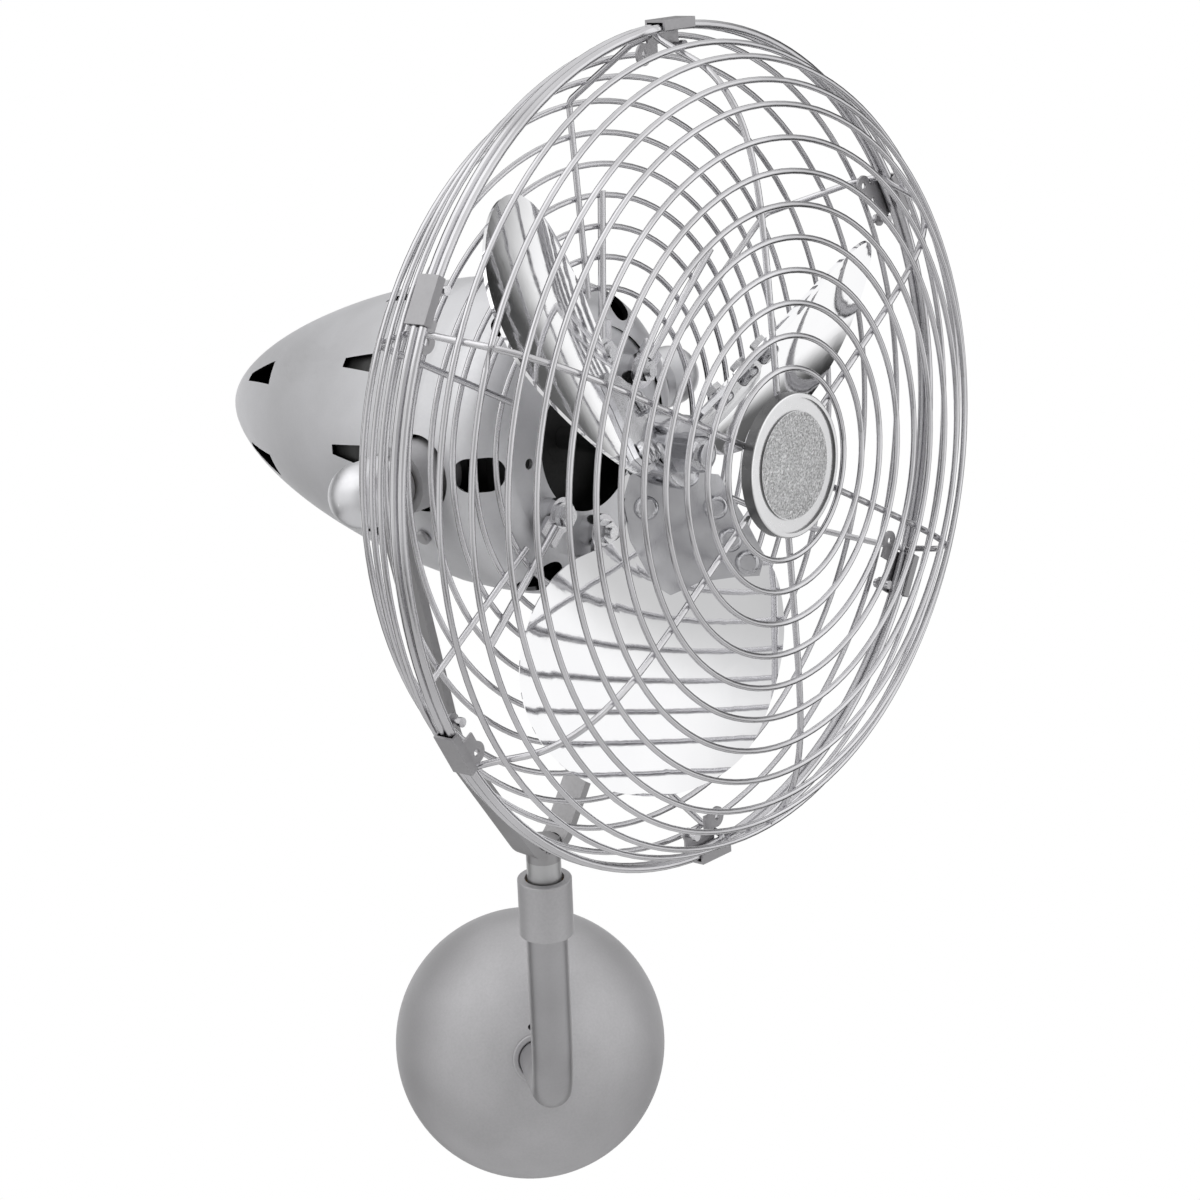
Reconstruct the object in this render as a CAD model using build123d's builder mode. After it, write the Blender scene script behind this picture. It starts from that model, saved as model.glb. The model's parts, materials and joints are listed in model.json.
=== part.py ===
from build123d import *
import os
from math import acos, atan2, cos, degrees, hypot, pi, radians, sin, sqrt, tan

# Wall mounted cage fan: a half-ball canopy on the wall, a bent arm, a swivel collar, a yoke
# and a bullet motor housing with a wire cage.  Millimetres.  The origin is the centre of the
# canopy's back face, +Z is up and the wall is on the +Y side.

# clearances
running_fit = 0.05
seat_gap = 0.1
turn_gap = 0.3
weld_sink = 0.4

# canopy and wall plate
canopy_radius = 84.5
canopy_skirt = 8.8
canopy_wall = 1.6
plate_radius = 70.0
plate_thick = 4.0
wall_screw_x = 60.0
wall_screw_z = 96.0
wall_screw_hole = 3.0
box_screw_pitch = 88.9
box_slot_hole = 2.4
box_slot_length = 10.0
cable_hole = 9.0
cable_height = 44.0
ear_width = 14.0
ear_angle = 30.0
cover_screw = 2.0
lock_hole = 1.7

# bent arm tube, its wall socket and the canopy's ring
tube_radius = 11.45
tube_wall = 2.0
arm_reach = 242.6
arm_bend = 45.0
arm_roll = -4.04
socket_radius = 17.0
socket_flange = 27.0
socket_flange_thick = 4.0
socket_length = 34.0
socket_screw = 2.5
grommet_radius = 15.5
grommet_thick = 3.2

# collar and swivel post
post_lean = 22.2
collar_radius = 14.7
collar_top = 132.7
collar_length = 33.0
tube_in_collar = 12.0
collar_bore = 10.7
bushing_drop = 3.2
bushing_length = 13.0
post_radius = 9.35
post_bore = 5.0
spigot_radius = 6.5
post_screw = 2.5

# motor housing
shell_wall = 2.0
housing_radius = 79.8
nose_station = -204.5
seam_station = -17.0
cup_straight = 16.0
face_station = 44.0
face_radius = housing_radius - 21.8
face_step = 1.5
opening_radius = face_radius - 22.5
pivot_cut = 19.5
nose_power = 1.55
nose_root = 1.62
lip_length = 12.0
shell_screw = 2.0
shell_screw_station = -8.0

# yoke
post_show = 11.1
yoke_drop = 233.5
yoke_half = housing_radius + 17.7
yoke_thick = 5.0
yoke_bend = 32.0
yoke_width = 15.5
knee_in = 30.0
knee_drop = 148.0
knee_bend = 100.0
foot_bend = 18.0
eye_radius = 13.0
eye_rise = 19.0
boss_depth = 2.5
nut_recess = 10.2
nut_radius = 9.4
nut_height = 4.5
spigot_show = 3.0
post_reach = collar_top + post_show + boss_depth + yoke_thick / 2 + yoke_drop
swivel_rest = 44.75
tilt_rest = 4.5

# pivots and clamp knobs
cradle_radius = housing_radius - 10.3
barrel_radius = 17.0
barrel_inner = cradle_radius - 3.5
washer_thick = 1.2
washer_radius = 12.5
stud_radius = 4.0
knob_radius = 16.0
knob_skirt = 17.0
knob_base = 13.0

# motor
stator_radius = cradle_radius - 11.5
stator_back = -34.0
stator_front = 14.0
stator_bore = stator_radius - 26.0
air_gap = 0.5
bell_depth = 12.0
bell_thick = 4.0
shaft_radius = 6.0
shaft_tip = 116.0
bearing_radius = 13.0
bearing_width = 8.0
cradle_half = 12.0
face_bolt_circle = face_radius - 13.0
face_bolt_spread = 22.0
face_bolt_axis = 30.0
half_turn = 180.0
face_stud = 3.0
capacitor_radius = 15.0
capacitor_length = 46.0

# cage
ring_wire = 1.45
spoke_wire = 1.6
rim_wire = 2.1
rim_radius = 203.0
rim_seam = 0.4
front_rim = 109.0
rear_rim = front_rim - 2 * rim_wire - rim_seam
front_depth = 56.0
front_shoulder = rim_radius - 5.4
front_power = 7.0
front_root = 1.8
shoulder_steps = [24.9, 14.4, 8.0]
ring_start = 45.5
ring_last = rim_radius - 35.9
front_rings = 9
ring_pitch = (ring_last - ring_start) / (front_rings - 1)
rear_station = 49.0
rear_rings = 7
rear_last = rim_radius - 36.8
rear_corner = rim_radius - 33.0
cone_radius = rim_radius - 5.0
cone_station = rear_rim - 12.9
spoke_count = 6
spoke_overrun = 0.5
lug_hole = face_stud + running_fit

# clips that hold the two grilles' rims together
clip_lead = 2.2
clip_width = 22.8
clip_sheet = 1.2
clip_gap = 0.25
ear_radius = 5.3
ear_depth = 12.0
clip_pin = 1.4
pin_button = 2.3
pin_pad = 3.5
button_thick = 2.2
pin_depth = 9.5
pin_inset = 2.5
ear_overhang = 3.0
tab_length = 10.0
tab_width = 8.0
hook_reach = 1.2
clip_base = 8.0

# medallion
medallion_radius = 35.0
medallion_thick = 6.0
medallion_step = 1.2
medallion_lip = 3.0

# rotor
hub_radius = 18.0
hub_back = 79.0
hub_front = 106.0
blade_station = 95.0
blade_sweep = rim_radius - 32.0
drawn_sweep = 171.0
blade_pitch = 34.8
blade_twist = 9.8
blade_dish = 3.8
blade_half_chord = 66.0
blade_sheet = 1.6
iron_sheet = 2.6
blade_phase = 198.6
blade_head = 6.0
blade_head_dome = 2.6
blade_shank = 2.2

os.makedirs("parts", exist_ok=True)

# directions: the arm's plane, the post, the tilt axis and the fan axis at rest
out_dir = Vector(0, -1, 0)
up_dir = Vector(sin(radians(arm_roll)), 0, cos(radians(arm_roll)))
side_dir = Vector(cos(radians(arm_roll)), 0, -sin(radians(arm_roll)))
post_dir = out_dir * sin(radians(post_lean)) + up_dir * cos(radians(post_lean))
level_dir = out_dir * cos(radians(post_lean)) - up_dir * sin(radians(post_lean))
corner = out_dir * arm_reach
pivot = corner + post_dir * post_reach
tilt_dir = side_dir * cos(radians(swivel_rest)) - level_dir * sin(radians(swivel_rest))
yoke_dir = level_dir * cos(radians(swivel_rest)) + side_dir * sin(radians(swivel_rest))
fan_dir = yoke_dir * cos(radians(tilt_rest)) + post_dir * sin(radians(tilt_rest))

wall = Plane(origin=(0, 0, 0), x_dir=(1, 0, 0), z_dir=(0, -1, 0))
arm_plane = Plane(origin=(0, 0, 0), x_dir=out_dir, z_dir=out_dir.cross(up_dir))
post = Plane(origin=corner, x_dir=side_dir, z_dir=post_dir)
yoke_face = Plane(origin=pivot, x_dir=tilt_dir, z_dir=yoke_dir)
yoke_side = Plane(origin=pivot, x_dir=yoke_dir * -1, z_dir=tilt_dir)
head = Plane(origin=pivot, x_dir=tilt_dir, z_dir=fan_dir)
head_cut = Plane(origin=pivot, x_dir=tilt_dir, z_dir=head.y_dir * -1)
fan_axis = Axis(pivot, fan_dir)
arm_axis = Axis((0, 0, 0), out_dir)


def outward(angle):
    """Direction away from the fan axis; angles run clockwise from the top, seen from the front."""
    return head.y_dir * cos(radians(angle)) + head.x_dir * sin(radians(angle))


def around(angle):
    """Direction along the turn at an angle."""
    return head.x_dir * cos(radians(angle)) - head.y_dir * sin(radians(angle))


def station(depth):
    """Plane square to the fan axis, at a depth in front of the tilt axis."""
    return head.offset(depth)


def meridian(angle):
    """Plane through the fan axis: x is the radius and y the depth."""
    return Plane(origin=pivot, x_dir=outward(angle), z_dir=outward(angle).cross(fan_dir))


def side_plane(angle, radius, depth=0.0):
    """Plane facing away from the fan axis: x is across and y is forward."""
    origin = pivot + outward(angle) * radius + fan_dir * depth
    return Plane(origin=origin, x_dir=around(angle) * -1, z_dir=outward(angle))


def pivot_plane(side, distance):
    """Plane square to the tilt axis, facing away from the housing on one side."""
    return Plane(origin=pivot + tilt_dir * side * distance, x_dir=yoke_dir, z_dir=tilt_dir * side)


def on_circle(radius, angle):
    """Point of a station plane at a radius and an angle from the top."""
    return (radius * sin(radians(angle)), radius * cos(radians(angle)))


# ---------------------------------------------------------------- wall side

ear_angles = [270 - ear_angle, 270 + ear_angle]
ear_inner = plate_radius - 3
ear_outer = canopy_radius - canopy_wall - 0.3
ear_height = canopy_skirt - 1.0

with BuildPart() as wall_plate:
    with BuildSketch(wall):
        Circle(plate_radius)
    extrude(amount=plate_thick)
    with BuildSketch(wall):
        with PolarLocations((ear_inner + ear_outer) / 2, 2, start_angle=ear_angles[0],
                            angular_range=2 * ear_angle, endpoint=True):
            Rectangle(ear_outer - ear_inner, ear_width)
    extrude(amount=ear_height)
    with BuildSketch(wall):
        with GridLocations(wall_screw_x, wall_screw_z, 2, 2):
            Circle(wall_screw_hole)
        with GridLocations(box_screw_pitch, 0, 2, 1):
            SlotOverall(box_slot_length, 2 * box_slot_hole)
        with Locations((0, cable_height)):
            Circle(cable_hole)
    extrude(amount=plate_thick, mode=Mode.SUBTRACT)
    with BuildSketch(wall):
        with PolarLocations(socket_flange - 5, 3, start_angle=90):
            Circle(socket_screw)
    extrude(amount=plate_thick, mode=Mode.SUBTRACT)
    for angle in ear_angles:
        hole_out = Vector(cos(radians(angle)), 0, sin(radians(angle)))
        hole_at = hole_out * ear_outer + out_dir * (ear_height / 2)
        with BuildSketch(Plane(origin=hole_at, z_dir=hole_out)):
            Circle(cover_screw)
        extrude(amount=-(ear_outer - ear_inner), mode=Mode.SUBTRACT)
wall_plate.part.label = "wall_plate"
export_step(wall_plate.part, "parts/wall_plate.step")

dome_section = Plane(origin=(0, 0, 0), x_dir=(1, 0, 0), z_dir=(0, 0, 1))
inner_radius = canopy_radius - canopy_wall
canopy_hole = tube_radius + 1.6
pole = canopy_skirt + canopy_radius
screw_sink = 0.6

with BuildPart() as canopy:
    with BuildSketch(dome_section):
        with BuildLine():
            Line((canopy_hole, -(canopy_skirt + sqrt(inner_radius**2 - canopy_hole**2))),
                 (canopy_hole, -(canopy_skirt + sqrt(canopy_radius**2 - canopy_hole**2))))
            ThreePointArc(
                (canopy_hole, -(canopy_skirt + sqrt(canopy_radius**2 - canopy_hole**2))),
                (canopy_radius * sin(pi / 4), -(canopy_skirt + canopy_radius * cos(pi / 4))),
                (canopy_radius, -canopy_skirt))
            Polyline((canopy_radius, -canopy_skirt), (canopy_radius, 0), (inner_radius, 0),
                     (inner_radius, -canopy_skirt))
            ThreePointArc(
                (inner_radius, -canopy_skirt),
                (inner_radius * sin(pi / 4), -(canopy_skirt + inner_radius * cos(pi / 4))),
                (canopy_hole, -(canopy_skirt + sqrt(inner_radius**2 - canopy_hole**2))))
        make_face()
    revolve(axis=arm_axis)
    for angle in ear_angles:
        hole_out = Vector(cos(radians(angle)), 0, sin(radians(angle)))
        hole_at = hole_out * (canopy_radius + 1) + out_dir * (ear_height / 2)
        with BuildSketch(Plane(origin=hole_at, z_dir=hole_out)):
            Circle(cover_screw + 0.2)
        extrude(amount=-4 * canopy_wall, mode=Mode.SUBTRACT)
    with BuildSketch(wall.offset(canopy_skirt)):
        with Locations((-4.5, 19)):
            Circle(lock_hole)
    extrude(amount=canopy_radius + 1, mode=Mode.SUBTRACT)
canopy.part.label = "canopy"
export_step(canopy.part, "parts/canopy.step")

with BuildPart() as canopy_screws:
    for angle in ear_angles:
        hole_out = Vector(cos(radians(angle)), 0, sin(radians(angle)))
        seat_at = hole_out * (canopy_radius - screw_sink) + out_dir * (ear_height / 2)
        with BuildSketch(Plane(origin=seat_at, z_dir=hole_out)):
            Circle(cover_screw - running_fit)
        extrude(amount=-(canopy_radius - ear_inner - 4))
        with BuildSketch(Plane(origin=seat_at, z_dir=hole_out)):
            RegularPolygon(cover_screw / 2, 6)
        extrude(amount=-2 * screw_sink, mode=Mode.SUBTRACT)
canopy_screws.part.label = "canopy_screws"
export_step(canopy_screws.part, "parts/canopy_screws.step")

tube_hole = tube_radius + running_fit
cable_slot = 7.0
socket_end = plate_thick + socket_length

with BuildPart() as arm_socket:
    with BuildSketch(wall.offset(plate_thick)):
        Circle(socket_flange)
        Circle(tube_radius - tube_wall, mode=Mode.SUBTRACT)
        with PolarLocations(socket_flange - 5, 3, start_angle=90):
            Circle(socket_screw + 0.2, mode=Mode.SUBTRACT)
    extrude(amount=socket_flange_thick)
    with BuildSketch(wall.offset(plate_thick + socket_flange_thick)):
        Circle(socket_radius)
        Circle(tube_hole, mode=Mode.SUBTRACT)
    extrude(amount=socket_length - socket_flange_thick)
    with BuildSketch(Plane(origin=(0, -(plate_thick + 18), 0), z_dir=(0, 0, 1))):
        Circle(cable_slot)
    extrude(amount=socket_radius + 1, mode=Mode.SUBTRACT)
    with BuildSketch(Plane(origin=(0, -(socket_end - 7), 0), z_dir=(0, 0, -1))):
        Circle(socket_screw)
    extrude(amount=socket_radius + 1, mode=Mode.SUBTRACT)
arm_socket.part.label = "arm_socket"
export_step(arm_socket.part, "parts/arm_socket.step")

with BuildPart() as socket_screws:
    with BuildSketch(wall.offset(plate_thick + socket_flange_thick)):
        with PolarLocations(socket_flange - 5, 3, start_angle=90):
            Circle(1.7 * socket_screw)
    extrude(amount=3.0)
    with BuildSketch(wall.offset(plate_thick + socket_flange_thick)):
        with PolarLocations(socket_flange - 5, 3, start_angle=90):
            Circle(socket_screw - running_fit)
    extrude(amount=-(plate_thick + socket_flange_thick - 0.5))
socket_screws.part.label = "socket_screws"
export_step(socket_screws.part, "parts/socket_screws.step")

with BuildPart() as arm_set_screw:
    with BuildSketch(Plane(origin=(0, -(socket_end - 7), -(tube_radius + seat_gap)),
                           z_dir=(0, 0, -1))):
        Circle(socket_screw - running_fit)
    extrude(amount=socket_radius - tube_radius + 1.5)
    with BuildSketch(Plane(origin=(0, -(socket_end - 7), -(socket_radius + 1.5)),
                           z_dir=(0, 0, 1))):
        RegularPolygon(1.3, 6)
    extrude(amount=2.0, mode=Mode.SUBTRACT)
arm_set_screw.part.label = "arm_set_screw"
export_step(arm_set_screw.part, "parts/arm_set_screw.step")

with BuildPart() as arm_ring:
    with BuildSketch(Plane(origin=out_dir * (pole - 1.0), z_dir=out_dir)):
        Circle(grommet_radius)
        Circle(tube_radius + 0.3, mode=Mode.SUBTRACT)
    extrude(amount=grommet_thick)
    fillet(arm_ring.edges().filter_by(GeomType.CIRCLE).group_by(Axis.Y)[0], 1.0)
    with BuildSketch(Plane(origin=out_dir * (pole - 4.5), z_dir=out_dir)):
        Circle(canopy_hole - 0.3)
        Circle(tube_radius + 0.3, mode=Mode.SUBTRACT)
    extrude(amount=4.0)
arm_ring.part.label = "arm_ring"
export_step(arm_ring.part, "parts/arm_ring.step")

collar_bottom = collar_top - collar_length
tube_end = collar_bottom + tube_in_collar
tube_start = plate_thick + socket_flange_thick + seat_gap
end_x = arm_reach + tube_end * sin(radians(post_lean))
end_y = tube_end * cos(radians(post_lean))

with BuildPart() as arm_tube:
    with BuildLine(arm_plane) as arm_path:
        FilletPolyline((tube_start, 0), (arm_reach, 0), (end_x, end_y), radius=arm_bend)
    with BuildSketch(Plane(origin=out_dir * tube_start, z_dir=out_dir)):
        Circle(tube_radius)
        Circle(tube_radius - tube_wall, mode=Mode.SUBTRACT)
    sweep(path=arm_path.line)
    with BuildSketch(Plane(origin=(0, -(plate_thick + 18), 0), z_dir=(0, 0, 1))):
        Circle(cable_slot)
    extrude(amount=tube_radius + 1, mode=Mode.SUBTRACT)
arm_tube.part.label = "arm_tube"
export_step(arm_tube.part, "parts/arm_tube.step")

bushing_top = collar_top - bushing_drop
bushing_bottom = bushing_top - bushing_length
friction_height = bushing_bottom + bushing_length / 2

with BuildPart() as collar:
    with BuildSketch(post.offset(collar_bottom)):
        Circle(collar_radius)
    extrude(amount=collar_length)
    fillet(collar.edges().filter_by(GeomType.CIRCLE), 0.8)
    with BuildSketch(post.offset(collar_bottom)):
        Circle(tube_hole)
    extrude(amount=tube_in_collar, mode=Mode.SUBTRACT)
    with BuildSketch(post.offset(collar_bottom)):
        Circle(collar_bore)
    extrude(amount=collar_length, mode=Mode.SUBTRACT)
    with BuildSketch(Plane(origin=corner + post_dir * friction_height, z_dir=level_dir * -1)):
        Circle(post_screw)
    extrude(amount=collar_radius + 1, mode=Mode.SUBTRACT)
collar.part.label = "collar"
export_step(collar.part, "parts/collar.step")

with BuildPart() as swivel_bushing:
    with BuildSketch(post.offset(bushing_bottom)):
        Circle(collar_bore - running_fit)
        Circle(post_radius + running_fit, mode=Mode.SUBTRACT)
    extrude(amount=bushing_length)
swivel_bushing.part.label = "swivel_bushing"
export_step(swivel_bushing.part, "parts/swivel_bushing.step")

friction_seat = collar_bore + seat_gap
with BuildPart() as swivel_screw:
    with BuildSketch(Plane(origin=corner + post_dir * friction_height - level_dir * friction_seat,
                           z_dir=level_dir * -1)):
        Circle(post_screw - running_fit)
    extrude(amount=collar_radius - collar_bore + 2)
    with BuildSketch(Plane(
            origin=corner + post_dir * friction_height - level_dir * (collar_radius + 0.6),
            z_dir=level_dir * -1)):
        Circle(2 * post_screw)
    extrude(amount=3.0)
swivel_screw.part.label = "swivel_screw"
export_step(swivel_screw.part, "parts/swivel_screw.step")

# ---------------------------------------------------------------- yoke

foot_under = post_reach - yoke_drop - yoke_thick / 2 - boss_depth
foot_over = post_reach - yoke_drop + yoke_thick / 2
post_start = tube_end + 0.6
ring_bottom = bushing_bottom - 2.2
post_ring_thick = 1.6

with BuildPart() as swivel_post:
    with BuildSketch(post.offset(post_start)):
        Circle(post_radius)
    extrude(amount=foot_under - post_start)
    with BuildSketch(post.offset(foot_under)):
        Circle(spigot_radius)
    extrude(amount=foot_over - foot_under + spigot_show)
    with BuildSketch(post.offset(post_start)):
        Circle(post_bore)
    extrude(amount=foot_over - post_start + spigot_show, mode=Mode.SUBTRACT)
    with BuildSketch(post.offset(ring_bottom)):
        Circle(post_radius)
        Circle(post_radius - 1, mode=Mode.SUBTRACT)
    extrude(amount=post_ring_thick + 0.2, mode=Mode.SUBTRACT)
swivel_post.part.label = "swivel_post"
export_step(swivel_post.part, "parts/swivel_post.step")

with BuildPart() as post_ring:
    with BuildSketch(post.offset(ring_bottom + 0.1)):
        Circle(collar_bore - 0.3)
        Circle(post_radius - 1 + running_fit, mode=Mode.SUBTRACT)
        with Locations((0, -collar_bore / 2 - 2)):
            Rectangle(4, collar_bore, mode=Mode.SUBTRACT)
    extrude(amount=post_ring_thick)
post_ring.part.label = "post_ring"
export_step(post_ring.part, "parts/post_ring.step")

# below its knees the yoke runs straight to the foot's bend, which fixes its slant
knee_half = yoke_half - knee_in
slant_rise = yoke_drop - knee_drop - foot_bend
slant = acos(foot_bend / hypot(knee_half, slant_rise)) - atan2(slant_rise, knee_half)
yoke_apex = -(knee_drop + knee_half / tan(slant))
yoke_reach = eye_radius

with BuildPart() as yoke:
    with BuildLine(yoke_face) as yoke_path:
        FilletPolyline((-yoke_half, yoke_reach), (-yoke_half, -eye_rise),
                       (-knee_half, -knee_drop), (0, yoke_apex), (knee_half, -knee_drop),
                       (yoke_half, -eye_rise), (yoke_half, yoke_reach),
                       radius=(yoke_bend, knee_bend, foot_bend, knee_bend, yoke_bend))
    yoke_start = pivot - tilt_dir * yoke_half + post_dir * yoke_reach
    with BuildSketch(Plane(origin=yoke_start, x_dir=tilt_dir, z_dir=post_dir * -1)):
        Rectangle(yoke_thick, 2 * eye_radius)
    sweep(path=yoke_path.line)
    with BuildSketch(yoke_side.offset(-yoke_half - yoke_thick)):
        Circle(eye_radius)
        with Locations((0, -yoke_drop / 2)):
            Rectangle(yoke_width, yoke_drop + 4 * yoke_thick)
    extrude(amount=2 * (yoke_half + yoke_thick), mode=Mode.INTERSECT)
    with BuildSketch(post.offset(foot_under)):
        Circle(post_radius)
    extrude(amount=boss_depth + yoke_thick - 1)
    with BuildSketch(post.offset(foot_under)):
        Circle(spigot_radius + running_fit)
    extrude(amount=boss_depth + 3 * yoke_thick, mode=Mode.SUBTRACT)
    with BuildSketch(post.offset(foot_over)):
        Circle(nut_recess)
    extrude(amount=2 * yoke_thick, mode=Mode.SUBTRACT)
    with BuildSketch(yoke_side.offset(-yoke_half - yoke_thick)):
        Circle(stud_radius + running_fit)
    extrude(amount=2 * (yoke_half + yoke_thick), mode=Mode.SUBTRACT)
yoke.part.label = "yoke"
export_step(yoke.part, "parts/yoke.step")

with BuildPart() as post_nut:
    with BuildSketch(post.offset(foot_over)):
        RegularPolygon(nut_radius, 6)
    extrude(amount=nut_height)
    with BuildSketch(post.offset(foot_over)):
        Circle(spigot_radius + running_fit)
    extrude(amount=spigot_show + seat_gap, mode=Mode.SUBTRACT)
post_nut.part.label = "post_nut"
export_step(post_nut.part, "parts/post_nut.step")

eye_inner = yoke_half - yoke_thick / 2
eye_outer = yoke_half + yoke_thick / 2
washer_outer = eye_outer + washer_thick
washer_inner = eye_inner - washer_thick
knob_start = washer_outer + turn_gap
stud_end = knob_start + knob_skirt

with BuildPart() as pivot_washers:
    for side in (-1, 1):
        for start in (washer_inner, eye_outer):
            with BuildSketch(pivot_plane(side, start)):
                Circle(washer_radius)
                Circle(stud_radius + running_fit, mode=Mode.SUBTRACT)
            extrude(amount=washer_thick)
pivot_washers.part.label = "pivot_washers"
export_step(pivot_washers.part, "parts/pivot_washers.step")

for side, name in ((-1, "left"), (1, "right")):
    knob_plane = Plane(origin=pivot, x_dir=post_dir, z_dir=post_dir.cross(tilt_dir * side))
    with BuildPart() as knob:
        with BuildSketch(knob_plane):
            with BuildLine():
                Polyline((0, knob_start), (knob_base, knob_start), (knob_radius, knob_start + 3),
                         (knob_radius, knob_start + knob_skirt))
                ThreePointArc(
                    (knob_radius, knob_start + knob_skirt),
                    (knob_radius * cos(pi / 4), knob_start + knob_skirt + knob_radius * sin(pi / 4)),
                    (0, knob_start + knob_skirt + knob_radius))
                Line((0, knob_start + knob_skirt + knob_radius), (0, knob_start))
            make_face()
        revolve(axis=Axis(pivot, tilt_dir * side))
        with BuildSketch(pivot_plane(side, knob_start)):
            Circle(stud_radius + running_fit)
        extrude(amount=knob_skirt + 2, mode=Mode.SUBTRACT)
    knob.part.label = "knob_" + name
    export_step(knob.part, "parts/knob_" + name + ".step")

    barrel_end = washer_inner - seat_gap
    with BuildPart() as barrel:
        with BuildSketch(pivot_plane(side, barrel_inner)):
            Circle(barrel_radius)
            Circle(stud_radius + running_fit, mode=Mode.SUBTRACT)
        extrude(amount=barrel_end - barrel_inner)
        fillet(barrel.edges().filter_by(GeomType.CIRCLE).sort_by_distance(
            pivot + tilt_dir * side * (barrel_end + 40))[0], 1.0)
    barrel.part.label = "pivot_barrel_" + name
    export_step(barrel.part, "parts/pivot_barrel_" + name + ".step")

with BuildPart() as pivot_studs:
    for side in (-1, 1):
        with BuildSketch(pivot_plane(side, barrel_inner - 4)):
            Circle(stud_radius)
        extrude(amount=stud_end - barrel_inner + 4)
pivot_studs.part.label = "pivot_studs"
export_step(pivot_studs.part, "parts/pivot_studs.step")

# ---------------------------------------------------------------- motor housing


def bullet(depth, radius, tip):
    """Radius of the bullet's outline at a depth behind the tilt axis."""
    share = depth / tip
    return radius * max(0.0, 1 - share**nose_power) ** (1 / nose_root)


def bullet_points(radius, tip, end):
    """Points of the bullet's outline from its tip to the depth where it ends."""
    shares = [1.0, 0.995, 0.98, 0.95, 0.88, 0.76, 0.62, 0.46, 0.3, end / tip]
    return [(bullet(tip * share, radius, tip), tip * share) for share in shares]


stud_angles = [face_bolt_axis - face_bolt_spread, face_bolt_axis + face_bolt_spread,
               face_bolt_axis - face_bolt_spread + half_turn,
               face_bolt_axis + face_bolt_spread + half_turn]
lip_outer = bullet(seam_station, housing_radius, nose_station) - shell_wall
lip_inner = lip_outer - shell_wall
nose_slots = 6
rear_slots = 10

with BuildPart() as rear_shell:
    outer_points = bullet_points(housing_radius, nose_station, seam_station)
    inner_points = bullet_points(housing_radius - shell_wall, nose_station + shell_wall,
                                 seam_station)
    with BuildSketch(head_cut):
        with BuildLine():
            Spline(outer_points)
            Spline(inner_points)
            Line(outer_points[0], inner_points[0])
            Line(outer_points[-1], inner_points[-1])
        make_face()
    revolve(axis=fan_axis)
    with BuildSketch(station(seam_station - 6)):
        Circle(lip_outer - 0.2)
        Circle(lip_inner - 0.2, mode=Mode.SUBTRACT)
    extrude(amount=6 + lip_length)
    with BuildSketch(station(seam_station - 6)):
        Circle(lip_outer + 1)
        Circle(lip_inner - 0.2, mode=Mode.SUBTRACT)
    extrude(amount=4)
    for count in range(nose_slots):
        with BuildSketch(side_plane(8 + count * 360 / nose_slots, 20)):
            with BuildLine():
                Polyline((-2, -165), (2, -167), (7.5, -136), (-6, -138), close=True)
            make_face()
        extrude(amount=housing_radius, mode=Mode.SUBTRACT)
    for count in range(rear_slots):
        with BuildSketch(side_plane(-15 - count * 360 / rear_slots, housing_radius / 2)):
            with BuildLine():
                Polyline((-2.5, -66), (2.5, -66), (5.2, -42), (-5.2, -42), close=True)
            make_face()
        extrude(amount=housing_radius, mode=Mode.SUBTRACT)
    with BuildSketch(pivot_plane(-1, -housing_radius - 5)):
        Circle(pivot_cut)
    extrude(amount=2 * housing_radius + 10, mode=Mode.SUBTRACT)
    for angle in (-116, -64, 64, 116):
        with BuildSketch(side_plane(angle, housing_radius / 2, shell_screw_station)):
            Circle(shell_screw)
        extrude(amount=housing_radius, mode=Mode.SUBTRACT)
rear_shell.part.label = "rear_shell"
export_step(rear_shell.part, "parts/rear_shell.step")

seam_gap = 0.4
cup_start = seam_station + seam_gap
shoulder_in = housing_radius - face_radius
shoulder_out = face_station - cup_straight
cup_slots = 6

with BuildPart() as front_cup:
    with BuildSketch(head_cut):
        with BuildLine():
            Polyline((lip_outer + 0.2, cup_start),
                     (lip_outer + shell_wall + 0.3, cup_start),
                     (housing_radius, 0), (housing_radius, cup_straight))
            EllipticalCenterArc((face_radius, cup_straight), shoulder_in, shoulder_out,
                                start_angle=0, arc_size=90)
            Polyline((face_radius, face_station), (face_radius, face_station - face_step),
                     (opening_radius, face_station - face_step),
                     (opening_radius, face_station - face_step - shell_wall),
                     (face_radius, face_station - face_step - shell_wall))
            EllipticalCenterArc(
                (face_radius, cup_straight), shoulder_in - shell_wall,
                shoulder_out - face_step - shell_wall, start_angle=0, arc_size=90)
            Polyline((housing_radius - shell_wall, cup_straight),
                     (housing_radius - shell_wall, 0), (lip_outer + 0.2, cup_start))
        make_face()
    revolve(axis=fan_axis)
    for count in range(cup_slots):
        angle = -89 + count * 360 / cup_slots
        slot_out = outward(angle) * 0.78 + fan_dir * 0.62
        slot_at = pivot + outward(angle) * (housing_radius - 8) + fan_dir * (cup_straight + 18)
        with BuildSketch(Plane(origin=slot_at - slot_out * 8, x_dir=around(angle),
                               z_dir=slot_out)):
            SlotOverall(26, 17, rotation=90)
        extrude(amount=30, mode=Mode.SUBTRACT)
    with BuildSketch(pivot_plane(-1, -housing_radius - 5)):
        Circle(pivot_cut)
    extrude(amount=2 * housing_radius + 10, mode=Mode.SUBTRACT)
    with BuildSketch(station(face_station - face_step - shell_wall)):
        for angle in (-90, 90):
            with Locations(on_circle(face_bolt_circle, angle)):
                Circle(2.7)
        for angle in stud_angles:
            with Locations(on_circle(face_bolt_circle, angle)):
                Circle(face_stud + running_fit)
    extrude(amount=2 * shell_wall, mode=Mode.SUBTRACT)
    for angle in (-116, -64, 64, 116):
        with BuildSketch(side_plane(angle, housing_radius / 2, shell_screw_station)):
            Circle(shell_screw + 0.2)
        extrude(amount=housing_radius, mode=Mode.SUBTRACT)
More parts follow.
